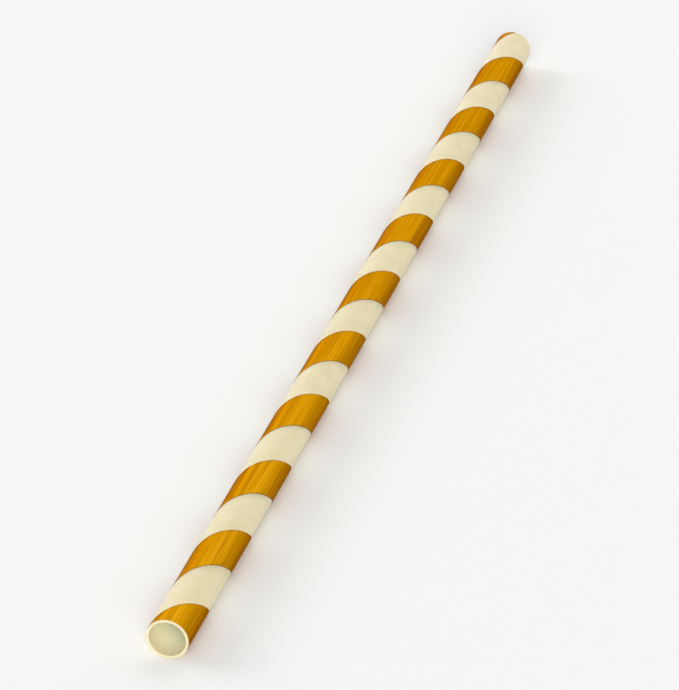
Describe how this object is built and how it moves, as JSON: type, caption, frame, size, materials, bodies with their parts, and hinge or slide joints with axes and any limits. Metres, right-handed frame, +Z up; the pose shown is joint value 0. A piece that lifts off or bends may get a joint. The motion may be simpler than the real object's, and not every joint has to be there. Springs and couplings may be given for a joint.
{
  "type": "paper drinking straw",
  "caption": "Spiral-wound paper drinking straw with a gold foil stripe, open at both ends and lying on its side.",
  "frame": {"origin": "on the surface that the straw lies on, below the middle of the tube", "axes": "+Z up, +Y along the tube from the front end to the back end, +X to the right seen from the front end"},
  "size_m": [0.006, 0.197, 0.0061],
  "materials": {
    "white_paper": "uncoated off-white paper, wound in a spiral and glued",
    "gold_foil": "warm gold foil with fine lengthwise streaks"
  },
  "bodies": {
    "root": {"paper_tube": "white_paper", "gold_stripe": "gold_foil"}
  },
  "joints": []
}
